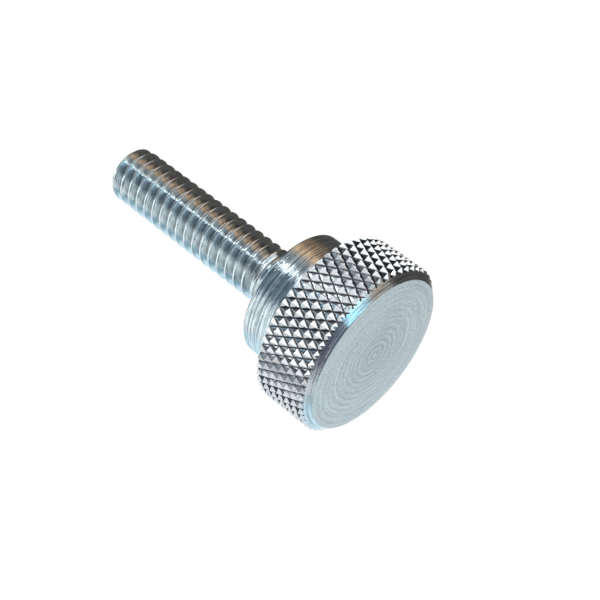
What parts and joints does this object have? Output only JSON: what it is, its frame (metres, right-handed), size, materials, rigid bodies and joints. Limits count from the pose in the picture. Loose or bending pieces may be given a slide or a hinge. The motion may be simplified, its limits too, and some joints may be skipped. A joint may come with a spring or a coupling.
{
  "type": "knurled thumb screw",
  "caption": "All-metal thumb screw turned in one piece: a diamond-knurled round head, a plain collar under it, a short plain neck and a long threaded shank with a bevelled tip.",
  "frame": {"origin": "on the screw's axis, in the plane of the collar's seat, where the clamped part meets the screw", "axes": "+Z along the axis from the seat to the thread's tip; -Z from the seat to the head's face"},
  "size_m": [0.0194, 0.0194, 0.0368],
  "materials": {
    "steel": "bright turned steel with fine tool marks, knurled on the head and threaded on the shank"
  },
  "bodies": {
    "root": {"thumb_screw": "steel"}
  },
  "joints": []
}
